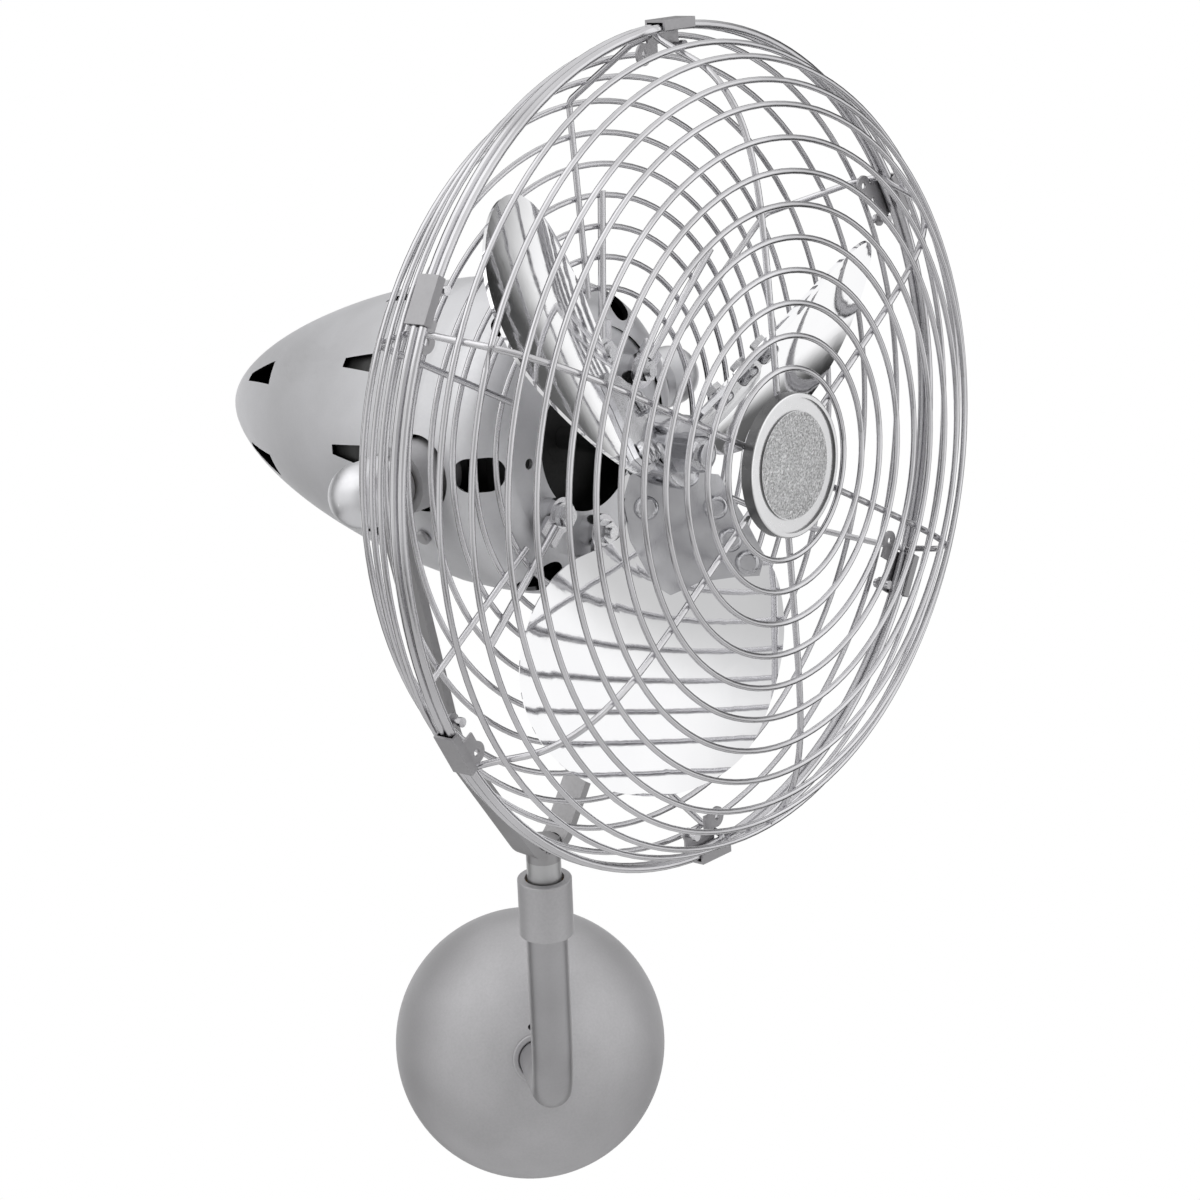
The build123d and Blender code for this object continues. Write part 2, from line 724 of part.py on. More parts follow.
front_cup.part.label = "front_cup"
export_step(front_cup.part, "parts/front_cup.step")

with BuildPart() as shell_screws:
    for angle in (-116, -64, 64, 116):
        with BuildSketch(side_plane(angle, housing_radius + 0.2, shell_screw_station)):
            Circle(2 * shell_screw)
        extrude(amount=2.2)
        with BuildSketch(side_plane(angle, housing_radius + 0.2, shell_screw_station)):
            Circle(shell_screw - running_fit)
        extrude(amount=-(housing_radius - lip_inner + 2))
    fillet(shell_screws.edges().filter_by(GeomType.CIRCLE).filter_by(
        lambda edge: edge.radius > 1.5 * shell_screw).sort_by(
        lambda edge: -edge.center().sub(pivot).length)[:4], 1.2)
shell_screws.part.label = "shell_screws"
export_step(shell_screws.part, "parts/shell_screws.step")

# ---------------------------------------------------------------- motor

bell_rim = 5.0
front_plate = stator_front + bell_depth
rear_plate = stator_back - bell_depth
tie_bolts = 4
tie_circle = stator_radius - 4
tie_radius = 1.5

with BuildPart() as motor_stator:
    with BuildSketch(station(stator_back)):
        Circle(stator_radius)
        Circle(stator_bore, mode=Mode.SUBTRACT)
        with PolarLocations(tie_circle, tie_bolts, start_angle=45):
            Circle(tie_radius + running_fit, mode=Mode.SUBTRACT)
    extrude(amount=stator_front - stator_back)
motor_stator.part.label = "motor_stator"
export_step(motor_stator.part, "parts/motor_stator.step")

with BuildPart() as motor_windings:
    for start, length in ((stator_front, 7), (stator_back, -7)):
        with BuildSketch(station(start)):
            Circle(stator_radius - 9)
            Circle(stator_bore + 3, mode=Mode.SUBTRACT)
        extrude(amount=length)
motor_windings.part.label = "motor_windings"
export_step(motor_windings.part, "parts/motor_windings.step")

for name, plate, inward, start in (("front", front_plate, -1, stator_front),
                                   ("rear", rear_plate, 1, stator_back)):
    with BuildPart() as bell:
        with BuildSketch(station(start)):
            Circle(stator_radius)
            Circle(stator_radius - bell_rim - 3, mode=Mode.SUBTRACT)
        extrude(amount=plate - start)
        with BuildSketch(station(plate)):
            Circle(stator_radius)
        extrude(amount=inward * bell_thick)
        with BuildSketch(station(plate)):
            Circle(bearing_radius + 4)
        extrude(amount=inward * (bearing_width + 2))
        with BuildSketch(station(plate)):
            Circle(shaft_radius + 1.5)
        extrude(amount=inward * (bearing_width + 2), mode=Mode.SUBTRACT)
        with BuildSketch(station(plate)):
            Circle(bearing_radius)
        extrude(amount=inward * bearing_width, mode=Mode.SUBTRACT)
        with BuildSketch(station(start)):
            with PolarLocations(tie_circle, tie_bolts, start_angle=45):
                Circle(tie_radius + running_fit)
        extrude(amount=plate - start, mode=Mode.SUBTRACT)
        if name == "front":
            with BuildSketch(station(plate)):
                for angle in stud_angles:
                    with Locations(on_circle(face_bolt_circle, angle)):
                        Circle(face_stud + running_fit)
            extrude(amount=-bell_thick, mode=Mode.SUBTRACT)
    bell.part.label = name + "_end_bell"
    export_step(bell.part, "parts/" + name + "_end_bell.step")

    with BuildPart() as bearing:
        with BuildSketch(station(plate)):
            Circle(bearing_radius - running_fit)
            Circle(shaft_radius + running_fit, mode=Mode.SUBTRACT)
        extrude(amount=inward * bearing_width)
    bearing.part.label = name + "_bearing"
    export_step(bearing.part, "parts/" + name + "_bearing.step")

cover_flange = 1.5
cover_depth = 22.0
cover_wall = 2.0
cover_radius = tie_circle - 6.0
cover_face = rear_plate - cover_flange

with BuildPart() as wiring_cover:
    with BuildSketch(station(rear_plate)):
        Circle(stator_radius)
        Circle(cover_radius - cover_wall, mode=Mode.SUBTRACT)
        with PolarLocations(tie_circle, tie_bolts, start_angle=45):
            Circle(tie_radius + running_fit, mode=Mode.SUBTRACT)
    extrude(amount=-cover_flange)
    with BuildSketch(station(rear_plate)):
        Circle(cover_radius)
        Circle(cover_radius - cover_wall, mode=Mode.SUBTRACT)
    extrude(amount=-cover_depth)
    with BuildSketch(station(rear_plate - cover_depth)):
        Circle(cover_radius)
        Circle(capacitor_radius + 0.6, mode=Mode.SUBTRACT)
    extrude(amount=cover_wall)
wiring_cover.part.label = "wiring_cover"
export_step(wiring_cover.part, "parts/wiring_cover.step")

with BuildPart() as motor_bolts:
    with BuildSketch(station(cover_face - 3)):
        with PolarLocations(tie_circle, tie_bolts, start_angle=45):
            Circle(tie_radius)
    extrude(amount=front_plate - cover_face + 6)
    for start, length in ((front_plate, 2.4), (cover_face, -2.4)):
        with BuildSketch(station(start)):
            with PolarLocations(tie_circle, tie_bolts, start_angle=45):
                RegularPolygon(3.2, 6)
        extrude(amount=length)
motor_bolts.part.label = "motor_bolts"
export_step(motor_bolts.part, "parts/motor_bolts.step")

with BuildPart() as motor_cradle:
    with BuildSketch(station(-cradle_half)):
        Circle(cradle_radius)
        Circle(stator_radius + running_fit, mode=Mode.SUBTRACT)
    extrude(amount=2 * cradle_half)
    for side in (-1, 1):
        with BuildSketch(pivot_plane(side, barrel_inner)):
            Rectangle(4 * barrel_radius, 4 * barrel_radius)
        extrude(amount=barrel_radius, mode=Mode.SUBTRACT)
        with BuildSketch(pivot_plane(side, stator_radius)):
            Circle(stud_radius + running_fit)
        extrude(amount=barrel_radius, mode=Mode.SUBTRACT)
motor_cradle.part.label = "motor_cradle"
export_step(motor_cradle.part, "parts/motor_cradle.step")

holder_depth = 8.0
with BuildPart() as capacitor_holder:
    with BuildSketch(station(rear_plate)):
        Circle(bearing_radius + 12)
        Circle(bearing_radius - 1, mode=Mode.SUBTRACT)
    extrude(amount=-2)
    with BuildSketch(station(rear_plate)):
        Circle(bearing_radius + 4)
        Circle(bearing_radius + 2, mode=Mode.SUBTRACT)
    extrude(amount=-holder_depth)
    with BuildSketch(station(rear_plate - holder_depth)):
        Circle(bearing_radius + 4)
        Circle(face_stud + running_fit, mode=Mode.SUBTRACT)
    extrude(amount=-2)
capacitor_holder.part.label = "capacitor_holder"
export_step(capacitor_holder.part, "parts/capacitor_holder.step")

can_station = rear_plate - holder_depth - 2
with BuildPart() as capacitor:
    with BuildSketch(station(can_station)):
        Circle(capacitor_radius)
    extrude(amount=-capacitor_length)
    fillet(capacitor.edges().filter_by(GeomType.CIRCLE), 1.5)
    with BuildSketch(station(can_station)):
        Circle(face_stud)
    extrude(amount=4.0)
capacitor.part.label = "capacitor"
export_step(capacitor.part, "parts/capacitor.step")

# studs through the motor's front plate, the cup and the rear grille's lugs
face_inner = face_station - face_step - shell_wall
face_outer = face_station - face_step
spacer_length = 7.0
lug_station = face_outer + spacer_length
lug_thick = 2.5
nut_thick = 5.0
with BuildPart() as face_spacers:
    with BuildSketch(station(front_plate)):
        for angle in stud_angles:
            with Locations(on_circle(face_bolt_circle, angle)):
                Circle(2 * face_stud)
                Circle(face_stud + running_fit, mode=Mode.SUBTRACT)
    extrude(amount=face_inner - front_plate)
face_spacers.part.label = "face_spacers"
export_step(face_spacers.part, "parts/face_spacers.step")

with BuildPart() as face_studs:
    with BuildSketch(station(front_plate - bell_thick)):
        for angle in stud_angles:
            with Locations(on_circle(face_bolt_circle, angle)):
                Circle(face_stud)
    extrude(amount=lug_station + lug_thick + nut_thick + 2 - front_plate + bell_thick)
face_studs.part.label = "face_studs"
export_step(face_studs.part, "parts/face_studs.step")

with BuildPart() as lug_spacers:
    with BuildSketch(station(face_outer)):
        for angle in stud_angles:
            with Locations(on_circle(face_bolt_circle, angle)):
                Circle(8.0)
                Circle(face_stud + running_fit, mode=Mode.SUBTRACT)
    extrude(amount=spacer_length)
lug_spacers.part.label = "lug_spacers"
export_step(lug_spacers.part, "parts/lug_spacers.step")

with BuildPart() as cage_nuts:
    with BuildSketch(station(lug_station + lug_thick)):
        for angle in stud_angles:
            with Locations(on_circle(face_bolt_circle, angle)):
                Circle(6.5)
                Circle(face_stud + running_fit, mode=Mode.SUBTRACT)
    extrude(amount=1.0)
    with BuildSketch(station(lug_station + lug_thick)):
        for angle in stud_angles:
            with Locations(on_circle(face_bolt_circle, angle)):
                RegularPolygon(5.6, 6, rotation=angle)
                Circle(face_stud + running_fit, mode=Mode.SUBTRACT)
    extrude(amount=nut_thick)
cage_nuts.part.label = "cage_nuts"
export_step(cage_nuts.part, "parts/cage_nuts.step")

# ---------------------------------------------------------------- cage


def front_outline(radius):
    """Depth of the front grille's domed outline at a radius."""
    share = min(1.0, radius / front_shoulder)
    return front_rim + front_depth * (1 - share**front_power) ** (1 / front_root)


def inside_front(radius):
    """Point of a spoke's centre line under the front outline at a radius."""
    rise = front_outline(radius + 0.1) - front_outline(radius - 0.1)
    tilt = hypot(rise, 0.2)
    return (radius + spoke_sink * rise / tilt, front_outline(radius) - spoke_sink * 0.2 / tilt)


spoke_sink = ring_wire + spoke_wire - weld_sink
rim_sink = rim_wire + spoke_wire - 2 * weld_sink
shoulder_radii = [rim_radius - step for step in shoulder_steps]
front_radii = [ring_start + ring_pitch * count for count in range(front_rings)] + shoulder_radii
spoke_points = [inside_front(radius) for radius in [14.0] + front_radii]
spoke_points.append((rim_radius - rim_sink, front_rim - spoke_overrun))

with BuildPart() as front_grille:
    for radius in front_radii:
        with Locations(station(front_outline(radius))):
            Torus(radius, ring_wire)
    with Locations(station(front_rim)):
        Torus(rim_radius, rim_wire)
    for count in range(spoke_count):
        with BuildLine(meridian(count * 360 / spoke_count)) as spoke_path:
            Spline(spoke_points)
        with BuildSketch(Plane(origin=spoke_path.line @ 0, z_dir=spoke_path.line % 0)):
            Circle(spoke_wire)
        sweep(path=spoke_path.line)
front_grille.part.label = "front_grille"
export_step(front_grille.part, "parts/front_grille.step")


cone_run = cone_radius - rear_corner
cone_rise = cone_station - rear_station
cone_slant = atan2(cone_rise, cone_run)


def rear_outline(radius):
    """Depth of the rear grille's outline at a radius: flat, then a cone towards the rim."""
    return rear_station + max(0.0, radius - rear_corner) * cone_rise / cone_run


rear_start = ring_start + 2 * ring_pitch
rear_pitch = (rear_last - rear_start) / (rear_rings - 1)
cone_radii = [shoulder_radii[0], shoulder_radii[1], cone_radius]
rear_radii = [rear_start + rear_pitch * count for count in range(rear_rings)] + cone_radii
rear_corner_point = (rear_corner - spoke_sink * tan(cone_slant / 2), rear_station + spoke_sink)
cone_point = (cone_radius - spoke_sink * sin(cone_slant),
              cone_station + spoke_sink * cos(cone_slant))
lug_radius = 9.0

with BuildPart() as rear_grille:
    for radius in rear_radii:
        with Locations(station(rear_outline(radius))):
            Torus(radius, ring_wire)
    with Locations(station(rear_rim)):
        Torus(rim_radius, rim_wire)
    for count in range(spoke_count):
        with BuildLine(meridian(count * 360 / spoke_count)) as spoke_path:
            FilletPolyline((rear_start - 3, rear_station + spoke_sink), rear_corner_point,
                           cone_point, (rim_radius - rim_sink, rear_rim + spoke_overrun),
                           radius=6)
        with BuildSketch(Plane(origin=spoke_path.line @ 0, z_dir=spoke_path.line % 0)):
            Circle(spoke_wire)
        sweep(path=spoke_path.line)
    leg_wire = 2.0
    leg_station = rear_station + ring_wire + leg_wire - weld_sink
    for angle in stud_angles:
        leg_start = pivot + outward(angle) * (face_bolt_circle + 7) + fan_dir * leg_station
        with BuildSketch(Plane(origin=leg_start, z_dir=outward(angle))):
            Circle(leg_wire)
        extrude(amount=rear_start + 3 * ring_pitch + 2 - face_bolt_circle - 7)
    with BuildSketch(station(lug_station)):
        for angle in stud_angles:
            with Locations(on_circle(face_bolt_circle, angle)):
                Circle(lug_radius)
            with Locations(on_circle(face_bolt_circle + 9, angle)):
                Rectangle(2 * lug_radius - 4, 12, rotation=-angle)
        for angle in stud_angles:
            with Locations(on_circle(face_bolt_circle, angle)):
                Circle(lug_hole, mode=Mode.SUBTRACT)
    extrude(amount=lug_thick)
    with BuildSketch(station(lug_station + lug_thick)):
        for angle in stud_angles:
            with Locations(on_circle(face_bolt_circle, angle)):
                Circle(6.8)
    extrude(amount=6, mode=Mode.SUBTRACT)
rear_grille.part.label = "rear_grille"
export_step(rear_grille.part, "parts/rear_grille.step")

clip_out = rim_radius + rim_wire + clip_gap
clip_back = rear_rim - rim_wire - clip_gap
clip_front = front_rim + rim_wire + clip_gap
clip_hook = rim_radius - hook_reach
clip_foot = rim_radius - clip_base
clip_turn = degrees((clip_lead + clip_width / 2) / rim_radius)
pin_side = clip_width / 2 - pin_inset
pin_radius = rim_radius - pin_depth
ear_side = -clip_width / 2 - ear_overhang
ear_centre = rim_radius - ear_depth


def beside(radius, angle, across):
    """Point of a station plane at a radius and an angle, moved across the radius."""
    x, y = on_circle(radius, angle)
    return (x + across * cos(radians(angle)), y - across * sin(radians(angle)))


clip_angles = [count * 360 / spoke_count + clip_turn for count in range(spoke_count)]

with BuildPart() as rim_clips:
    for angle in clip_angles:
        clip_plane = Plane(origin=pivot - around(angle) * (clip_width / 2),
                           x_dir=outward(angle), z_dir=around(angle))
        with BuildSketch(clip_plane):
            Polygon((clip_foot, clip_back), (clip_out, clip_back), (clip_out, clip_front),
                    (clip_hook, clip_front), (clip_hook, clip_front + clip_sheet),
                    (clip_out + clip_sheet, clip_front + clip_sheet),
                    (clip_out + clip_sheet, clip_back - clip_sheet),
                    (clip_foot, clip_back - clip_sheet), align=None)
        extrude(amount=clip_width)
        with BuildSketch(station(clip_back - clip_sheet)):
            with Locations(beside(ear_centre, angle, ear_side)):
                Circle(ear_radius)
            with Locations(beside(ear_centre + 1, angle, ear_side + tab_length / 2)):
                Rectangle(tab_length, tab_width, rotation=-angle)
            with Locations(beside(pin_radius, angle, pin_side)):
                Circle(pin_pad)
        extrude(amount=clip_sheet)
        with BuildSketch(station(clip_back - clip_sheet)):
            with Locations(beside(ear_centre, angle, ear_side)):
                Circle(ear_radius / 3)
            with Locations(beside(pin_radius, angle, pin_side)):
                Circle(clip_pin + running_fit)
        extrude(amount=clip_sheet, mode=Mode.SUBTRACT)
rim_clips.part.label = "rim_clips"
export_step(rim_clips.part, "parts/rim_clips.step")

with BuildPart() as clip_pins:
    for angle in clip_angles:
        pin_at = beside(pin_radius, angle, pin_side)
        with BuildSketch(station(clip_back - clip_sheet - seat_gap)):
            with Locations(pin_at):
                Circle(pin_button)
        extrude(amount=-button_thick)
        with BuildSketch(station(clip_back - clip_sheet - seat_gap)):
            with Locations(pin_at):
                Circle(clip_pin)
        extrude(amount=front_rim - clip_back)
        with BuildSketch(station(front_rim - clip_sheet - seat_gap)):
            with Locations(pin_at):
                Circle(pin_button)
        extrude(amount=-button_thick)
clip_pins.part.label = "clip_pins"
export_step(clip_pins.part, "parts/clip_pins.step")

# ---------------------------------------------------------------- medallion

spoke_centre = front_outline(ring_start) - spoke_sink
medallion_back = spoke_centre + spoke_wire + seat_gap
medallion_front = medallion_back + medallion_thick

with BuildPart() as medallion:
    with BuildSketch(station(medallion_back)):
        Circle(medallion_radius - 0.6)
    extrude(amount=medallion_thick)
    fillet(medallion.faces().sort_by(fan_axis)[-1].edges(), 0.8)
    with BuildSketch(station(medallion_front)):
        Circle(medallion_radius - medallion_lip)
    extrude(amount=-medallion_step, mode=Mode.SUBTRACT)
    with BuildSketch(station(medallion_front - medallion_step)):
        Circle(medallion_radius - 3 * medallion_lip)
    extrude(amount=medallion_step - 0.3)
    with BuildSketch(station(medallion_back)):
        Circle(2.1)
    extrude(amount=3.0, mode=Mode.SUBTRACT)
medallion.part.label = "medallion"
export_step(medallion.part, "parts/medallion.step")

clamp_top = spoke_centre - spoke_wire - seat_gap
with BuildPart() as spoke_clamp:
    with BuildSketch(station(clamp_top)):
        Circle(medallion_radius - 7)
        Circle(2.3, mode=Mode.SUBTRACT)
    extrude(amount=-2.0)
spoke_clamp.part.label = "spoke_clamp"
export_step(spoke_clamp.part, "parts/spoke_clamp.step")

with BuildPart() as medallion_screw:
    with BuildSketch(station(clamp_top - 2.0)):
        Circle(4.0)
    extrude(amount=-2.2)
    with BuildSketch(station(clamp_top - 2.0)):
        Circle(2.05)
    extrude(amount=medallion_back + 2.8 - clamp_top + 2.0)
medallion_screw.part.label = "medallion_screw"
export_step(medallion_screw.part, "parts/medallion_screw.step")

# ---------------------------------------------------------------- rotor

with BuildPart() as rotor_core:
    with BuildSketch(station(stator_back + 2)):
        Circle(stator_bore - air_gap)
        Circle(shaft_radius, mode=Mode.SUBTRACT)
    extrude(amount=stator_front - stator_back - 4)
rotor_core.part.label = "rotor_core"
export_step(rotor_core.part, "parts/rotor_core.step")

with BuildPart() as rotor_shaft:
    with BuildSketch(station(rear_plate - 4)):
        Circle(shaft_radius)
    extrude(amount=shaft_tip - rear_plate + 4)
rotor_shaft.part.label = "rotor_shaft"
export_step(rotor_shaft.part, "parts/rotor_shaft.step")


def pitch_at(radius):
    """Blade pitch at a radius; it eases towards the tip."""
    return blade_pitch - blade_twist * (radius - 110) / 100


def blade_frame(angle, radius, pitch):
    """Plane square to the blade's length: x runs along the chord, y out of the front face."""
    chord = around(angle) * -cos(radians(pitch)) + fan_dir * sin(radians(pitch))
    origin = pivot + fan_dir * blade_station + outward(angle) * radius
    return Plane(origin=origin, x_dir=chord, z_dir=outward(angle))


def dish_at(across):
    """Height of the dished surface at a distance across the chord."""
    return -blade_dish * (1 - (across / blade_half_chord) ** 2)


def blade_spot(angle, radius, across, height):
    """Plane lying on the blade's front face at a radius and a distance across the chord."""
    frame = blade_frame(angle, radius, pitch_at(radius))
    slope = 2 * blade_dish * across / blade_half_chord**2
    normal = (frame.y_dir - frame.x_dir * slope).normalized()
    spot = frame.origin + frame.x_dir * across + frame.y_dir * dish_at(across)
    return Plane(origin=spot + normal * height, x_dir=outward(angle), z_dir=normal)


blade_edge = 80.0
blade_stations = [8.0, 30.0, 55.0, 80.0, 110.0, 145.0, blade_sweep + 6]
blade_growth = blade_sweep / drawn_sweep
drawn_blade = [(26, -20), (46, -21), (56, -38), (73, -54), (92, -61.5), (112, -63.5),
               (132, -58.5), (150, -46), (162, -29), (169, -5), (168.5, 20), (160, 41),
               (146, 56), (128, 63.5), (108, 67), (88, 67.5), (68, 64), (52, 57), (36, 43),
               (22, 27)]
blade_shape = [(length * blade_growth, across) for length, across in drawn_blade]
iron_shape = [(9, -17), (28, -20), (46, -14), (66, 0), (70, 8), (62, 22), (58, 38), (56, 50),
              (46, 51), (30, 40), (9, 24)]
iron_spots = [(29, -9), (25, 25), (40, 34), (50, 44)]
iron_gap = 0.15
dish_gap = 0.42


def blade_layer(angle, low, high, outline, smooth):
    """One twisted, dished sheet between two heights, trimmed to an outline."""
    flat = blade_frame(angle, 0, blade_pitch)
    trim = Plane(origin=flat.origin - flat.y_dir * 60, x_dir=outward(angle),
                 z_dir=flat.y_dir)
    turned = trim.y_dir.dot(flat.x_dir)
    points = [(x, y * turned) for x, y in outline]
    with BuildPart() as layer:
        for radius in blade_stations:
            with BuildSketch(blade_frame(angle, radius, pitch_at(radius))):
                with BuildLine():
                    for height in (low, high):
                        edge_height = dish_at(blade_edge) + height
                        ThreePointArc((-blade_edge, edge_height), (0, dish_at(0) + height),
                                      (blade_edge, edge_height))
                    for edge in (-blade_edge, blade_edge):
                        Line((edge, dish_at(edge) + low), (edge, dish_at(edge) + high))
                make_face()
        loft()
        with BuildSketch(trim):
            with BuildLine():
                if smooth:
                    Spline(points, periodic=True)
                else:
                    Polyline(points, close=True)
            make_face()
        extrude(amount=120, mode=Mode.INTERSECT)
    return layer.part


blade_angles = [blade_phase, blade_phase + 120, blade_phase + 240]

for angle, name in zip(blade_angles, ("blade_a", "blade_b", "blade_c")):
    with BuildPart() as blade:
        add(blade_layer(angle, 0, blade_sheet, blade_shape, True))
        with BuildSketch(station(hub_back - 20)):
            Circle(hub_radius + 0.4)
        extrude(amount=hub_front - hub_back + 40, mode=Mode.SUBTRACT)
        for radius, across in iron_spots:
            with BuildSketch(blade_spot(angle, radius, across, -3)):
                Circle(blade_shank + 0.1)
            extrude(amount=8, mode=Mode.SUBTRACT)
    blade.part.label = name
    export_step(blade.part, "parts/" + name + ".step")

with BuildPart() as hub_core:
    with BuildSketch(station(hub_back)):
        Circle(hub_radius)
    extrude(amount=hub_front - hub_back)
    fillet(hub_core.edges().filter_by(GeomType.CIRCLE), 2.0)

irons = []
for angle in blade_angles:
    with BuildPart() as iron:
        low = blade_sheet + iron_gap
        add(blade_layer(angle, low, low + iron_sheet, iron_shape, False))
        for radius, across in iron_spots:
            with BuildSketch(blade_spot(angle, radius, across, -3)):
                Circle(blade_shank + 0.1)
            extrude(amount=12, mode=Mode.SUBTRACT)
    irons.append(iron.part)

with BuildPart() as hub:
    add(hub_core.part)
    for iron_part in irons:
        add(iron_part)
    with BuildSketch(station(hub_back)):
        Circle(shaft_radius + running_fit)
    extrude(amount=2 * (hub_front - hub_back), mode=Mode.SUBTRACT)
    with BuildSketch(side_plane(blade_phase + 60, 0, hub_back + 6)):
        Circle(2.5)
    extrude(amount=hub_radius + 2, mode=Mode.SUBTRACT)
hub.part.label = "hub"
export_step(hub.part, "parts/hub.step")

with BuildPart() as hub_screw:
    with BuildSketch(side_plane(blade_phase + 60, shaft_radius + seat_gap, hub_back + 6)):
        Circle(2.5 - running_fit)
    extrude(amount=hub_radius - shaft_radius + 1)
hub_screw.part.label = "hub_screw"
export_step(hub_screw.part, "parts/hub_screw.step")

with BuildPart() as hub_nut:
    with BuildSketch(station(hub_front)):
        RegularPolygon(10.0, 6)
    extrude(amount=6.0)
    with BuildSketch(station(hub_front)):
        Circle(9.0)
    extrude(amount=12.0)
    fillet(hub_nut.faces().sort_by(fan_axis)[-1].edges(), 4.0)
    with BuildSketch(station(hub_front)):
        Circle(shaft_radius + running_fit)
    extrude(amount=shaft_tip - hub_front + 0.2, mode=Mode.SUBTRACT)
hub_nut.part.label = "hub_nut"
export_step(hub_nut.part, "parts/hub_nut.step")

iron_top = blade_sheet + iron_gap + iron_sheet
head_height = 3.6
screws = []
for angle in blade_angles:
    for radius, across in iron_spots:
        seat = blade_spot(angle, radius, across, iron_top + dish_gap)
        with BuildPart() as screw:
            with BuildSketch(seat):
                Circle(blade_head)
            extrude(amount=head_height)
            fillet(screw.edges().filter_by(GeomType.CIRCLE).sort_by_distance(
                seat.origin + seat.z_dir * 2 * head_height)[0], blade_head_dome)
            with BuildSketch(seat):
                Circle(blade_shank)
            extrude(amount=-(iron_top + 4))
        screws.append(screw.part)

with BuildPart() as blade_screws:
    for screw_part in screws:
        add(screw_part)
blade_screws.part.label = "blade_screws"
export_step(blade_screws.part, "parts/blade_screws.step")

with BuildPart() as blade_nuts:
    for angle in blade_angles:
        for radius, across in iron_spots:
            with BuildSketch(blade_spot(angle, radius, across, -dish_gap)):
                RegularPolygon(4.4, 6)
                Circle(blade_shank + running_fit, mode=Mode.SUBTRACT)
            extrude(amount=-3.0)
blade_nuts.part.label = "blade_nuts"
export_step(blade_nuts.part, "parts/blade_nuts.step")
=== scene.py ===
import json
import math

import bpy
from mathutils import Matrix, Vector


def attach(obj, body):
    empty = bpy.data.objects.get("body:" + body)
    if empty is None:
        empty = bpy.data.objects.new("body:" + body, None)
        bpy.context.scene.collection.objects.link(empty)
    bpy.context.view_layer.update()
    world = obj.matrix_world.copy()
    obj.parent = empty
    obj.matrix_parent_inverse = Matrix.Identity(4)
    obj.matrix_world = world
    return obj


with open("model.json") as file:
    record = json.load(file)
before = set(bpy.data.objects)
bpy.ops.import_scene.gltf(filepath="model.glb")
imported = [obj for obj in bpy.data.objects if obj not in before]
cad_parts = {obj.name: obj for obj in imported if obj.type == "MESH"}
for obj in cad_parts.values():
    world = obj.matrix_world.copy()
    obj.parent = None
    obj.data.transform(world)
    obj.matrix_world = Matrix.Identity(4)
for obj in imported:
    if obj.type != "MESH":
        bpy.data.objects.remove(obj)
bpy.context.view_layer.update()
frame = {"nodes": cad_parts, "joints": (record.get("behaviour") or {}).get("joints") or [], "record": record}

nodes = frame["nodes"]
joints = {joint["name"]: joint for joint in frame["joints"]}

# the fan's axis points out of the front grille and crosses the tilt axis at the pivot
axis = Vector(joints["fan_spin"]["axis"])
pivot = Vector(joints["tilt"]["pos_m"])

# stations are distances along the axis from the pivot, in metres
shell_middle = -0.05                   # a station well inside the motor housing
medallion_recess = 0.0258              # radius of the grained floor of the medallion
# a thin black sheet inside the tail stands in for the shadow seen through the vents
shade_sheet_profile = ((-0.040, 0.0726), (-0.055, 0.0700), (-0.070, 0.0669))
shade_sheet_wall = 0.0008
shade_sheet_segments = 72


# ------------------------------------------------------------------ nodes of a shader

def feed(tree, socket, value):
    """Sets a constant on a socket, or links another node's output to it."""
    if isinstance(value, bpy.types.NodeSocket):
        tree.links.new(value, socket)
    else:
        socket.default_value = value


def add_node(tree, kind, inputs, **settings):
    """A node with its settings and its inputs, each a constant or an output to link."""
    node = tree.nodes.new(kind)
    for key, value in settings.items():
        setattr(node, key, value)
    for key, value in inputs.items():
        feed(tree, node.inputs[key], value)
    return node


def math_node(tree, operation, first, second=0.0):
    """Maths with one or two numbers."""
    return add_node(tree, "ShaderNodeMath", {0: first, 1: second}, operation=operation).outputs[0]


def vector_math(tree, operation, result, **inputs):
    """Maths with vectors; the result is the output with that name."""
    named = {"first": 0, "second": 1, "scale": "Scale"}
    places = {named[key]: value for key, value in inputs.items()}
    return add_node(tree, "ShaderNodeVectorMath", places, operation=operation).outputs[result]


def remap(tree, value, start, end, low, high, curve="LINEAR"):
    """A value spread from one range over another."""
    spread = {"Value": value, "From Min": start, "From Max": end, "To Min": low, "To Max": high}
    return add_node(tree, "ShaderNodeMapRange", spread, interpolation_type=curve).outputs["Result"]


def mix_colours(tree, factor, first, second, blend="MIX"):
    """A colour between two, or one multiplied by the other."""
    node = add_node(tree, "ShaderNodeMix", {}, data_type="RGBA", blend_type=blend)
    for key, value in (("Factor", factor), ("A", first), ("B", second)):
        feed(tree, node.inputs[key], value)
    return node.outputs["Result"]


def noise(tree, scale, detail=3.0, stretch=(1, 1, 1), roughness=0.5):
    """Noise in the part's own coordinates; stretch makes it streaky."""
    place = add_node(tree, "ShaderNodeTexCoord", {})
    mapping = add_node(tree, "ShaderNodeMapping", {"Vector": place.outputs["Object"],
                                                   "Scale": stretch})
    return add_node(tree, "ShaderNodeTexNoise", {
        "Vector": mapping.outputs["Vector"], "Scale": scale, "Detail": detail,
        "Roughness": roughness}).outputs["Fac"]


def add_bump(tree, shader, height, distance):
    """Surface relief from a value."""
    bump = add_node(tree, "ShaderNodeBump", {"Height": height, "Strength": 1.0,
                                             "Distance": distance})
    tree.links.new(bump.outputs["Normal"], shader.inputs["Normal"])


# ------------------------------------------------------------------ kinds of finish

def new_material(name, colour, metallic, roughness):
    """A principled material with its constant values on the shader's own sockets."""
    material = bpy.data.materials.new(name)
    material.use_nodes = True
    shader = material.node_tree.nodes["Principled BSDF"]
    shader.inputs["Base Color"].default_value = (*colour, 1)
    shader.inputs["Metallic"].default_value = metallic
    shader.inputs["Roughness"].default_value = roughness
    return material, shader


